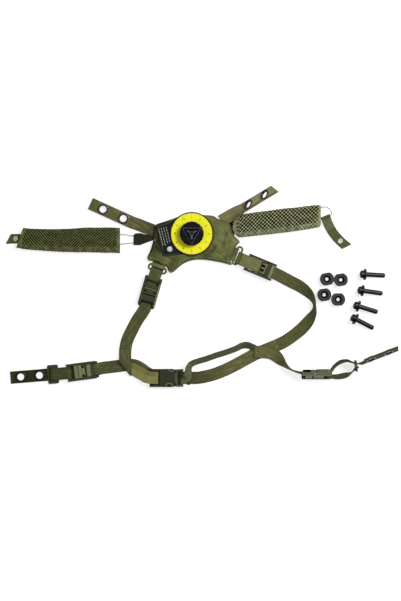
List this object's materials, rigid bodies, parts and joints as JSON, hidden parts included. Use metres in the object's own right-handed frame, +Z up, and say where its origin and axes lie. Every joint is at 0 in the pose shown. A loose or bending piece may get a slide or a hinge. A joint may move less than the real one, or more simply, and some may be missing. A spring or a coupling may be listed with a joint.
{
  "type": "combat helmet retention harness",
  "caption": "Olive webbing harness for a combat helmet, laid flat: padded nape piece with a lace dial, sleeved laces, grommeted straps, cam buckles, chin clip and loose bolts and nuts.",
  "frame": {"origin": "middle of the laid-out kit on the surface that it lies on", "axes": "+Z up from that surface; +X to the right of someone who looks down with the nape pad at the top; +Y towards the nape pad, which is the back of the helmet"},
  "size_m": [0.5082, 0.2621, 0.0468],
  "materials": {
    "webbing": "woven olive nylon webbing, matte with a faint sheen on its ribs",
    "tab_webbing": "narrow woven olive nylon webbing",
    "pad_cloth": "quilted olive nylon cloth, wrinkled",
    "sleeve_mesh": "olive mesh knit over a soft core",
    "label": "black woven label with a stitched edge",
    "lace": "grey braided lace",
    "dial_black": "black, fine satin",
    "knob_gloss": "black, polished",
    "yellow_ring": "printed bright yellow",
    "dark_plastic": "dark grey, smooth",
    "guide_black": "black, smooth",
    "steel": "turned steel",
    "snap_metal": "dull olive-grey lacquer",
    "nickel": "polished nickel plate",
    "bronze": "dull bronze-coloured plate",
    "ring_paint": "olive-grey paint",
    "buckle_plastic": "dark foliage moulding",
    "lever_plastic": "dark foliage moulding, ribbed",
    "clip_plastic": "dark foliage moulding, lightly textured",
    "bolt_black": "black oxide, oiled",
    "nut_black": "black oxide"
  },
  "bodies": {
    "harness": {"nape_pad": "pad_cloth", "label_patch": "label", "dial_base": "dial_black", "instruction_ring": "yellow_ring", "ratchet_ring": "dark_plastic", "reel_cover": "dark_plastic", "left_lace": "lace", "right_lace": "lace", "left_guide": "guide_black", "right_guide": "guide_black", "left_tab": "tab_webbing", "right_tab": "tab_webbing", "left_snap": "snap_metal", "right_snap": "snap_metal", "rear_left_strap": "webbing", "rear_right_strap": "webbing", "rear_left_grommets": "nickel", "rear_right_grommets": "nickel", "left_ring": "ring_paint", "right_ring": "ring_paint", "left_ring_tab": "pad_cloth", "right_ring_tab": "pad_cloth", "left_leg_loop": "webbing", "right_leg_loop": "webbing", "left_leg_frame": "buckle_plastic", "right_leg_frame": "buckle_plastic", "front_left_frame": "buckle_plastic", "front_right_frame": "buckle_plastic", "lever_pins": "steel", "left_leg_strap": "webbing", "right_leg_strap": "webbing", "front_left_strap": "webbing", "front_right_strap": "webbing", "front_left_end_strap": "webbing", "front_right_end_strap": "webbing", "front_left_grommets": "bronze", "front_right_grommets": "bronze", "front_left_glide": "buckle_plastic", "front_right_glide": "buckle_plastic", "chin_socket": "clip_plastic", "chin_plug": "clip_plastic", "chin_strap": "webbing", "chin_upper_strap": "webbing", "bolts": "bolt_black", "nuts": "nut_black"},
    "dial_core": {"dial_shaft": "steel"},
    "dial_cap": {"dial_knob": "knob_gloss", "dial_grip": "knob_gloss", "dial_screw": "steel"},
    "spool": {"lace_spool": "dark_plastic"},
    "left_leg_cam_lever": {"left_leg_lever": "lever_plastic"},
    "right_leg_cam_lever": {"right_leg_lever": "lever_plastic"},
    "front_left_cam_lever": {"front_left_lever": "lever_plastic"},
    "front_right_cam_lever": {"front_right_lever": "lever_plastic"},
    "back_prong": {"chin_prong_back": "clip_plastic"},
    "front_prong": {"chin_prong_front": "clip_plastic"},
    "left_sleeve": {"left_sleeve": "sleeve_mesh"},
    "right_sleeve": {"right_sleeve": "sleeve_mesh"},
    "keeper": {"chin_keeper": "clip_plastic"}
  },
  "joints": [
    {"name": "dial_pull", "type": "slide", "parent": "harness", "child": "dial_core", "axis": [0, 0, 1], "range_m": [0, 0.003]},
    {"name": "dial_turn", "type": "hinge", "parent": "dial_core", "child": "dial_cap", "pos_m": [-0.013, 0.0685, 0.018], "axis": [0, 0, 1], "continuous": true},
    {"name": "spool_turn", "type": "hinge", "parent": "harness", "child": "spool", "pos_m": [-0.013, 0.0685, 0.0065], "axis": [0, 0, 1], "continuous": true},
    {"name": "left_leg_cam", "type": "hinge", "parent": "harness", "child": "left_leg_cam_lever", "pos_m": [-0.06788, -0.00874, 0.005], "axis": [0.9613, -0.2756, 0], "range_deg": [0, 80]},
    {"name": "right_leg_cam", "type": "hinge", "parent": "harness", "child": "right_leg_cam_lever", "pos_m": [0.07852, 0.02414, 0.0026], "axis": [-0.3827, -0.9239, 0], "range_deg": [0, 80]},
    {"name": "front_left_cam", "type": "hinge", "parent": "harness", "child": "front_left_cam_lever", "pos_m": [-0.15317, -0.10945, 0.005], "axis": [-0.1305, 0.9914, 0], "range_deg": [0, 80]},
    {"name": "front_right_cam", "type": "hinge", "parent": "harness", "child": "front_right_cam_lever", "pos_m": [0.146, -0.11483, 0.01236], "axis": [0, -0.2588, -0.9659], "range_deg": [0, 80]},
    {"name": "back_prong_press", "type": "hinge", "parent": "harness", "child": "back_prong", "pos_m": [-0.0333, -0.10995, 0.0045], "axis": [0, 0, 1], "range_deg": [0, 8], "stiffness_Nm_per_rad": 0.3},
    {"name": "front_prong_press", "type": "hinge", "parent": "harness", "child": "front_prong", "pos_m": [-0.0333, -0.12685, 0.0045], "axis": [0, 0, -1], "range_deg": [0, 8], "stiffness_Nm_per_rad": 0.3},
    {"name": "left_sleeve_slide", "type": "slide", "parent": "harness", "child": "left_sleeve", "axis": [1, 0, 0], "range_m": [0, 0.008]},
    {"name": "right_sleeve_slide", "type": "slide", "parent": "harness", "child": "right_sleeve", "axis": [0.991, 0.134, 0], "range_m": [0, 0.0012]},
    {"name": "keeper_slide", "type": "slide", "parent": "harness", "child": "keeper", "axis": [1, 0, 0], "range_m": [0, 0.006]}
  ],
  "couplings": [
    {"joint": "spool_turn", "follows": "dial_turn", "ratio": 1}
  ]
}
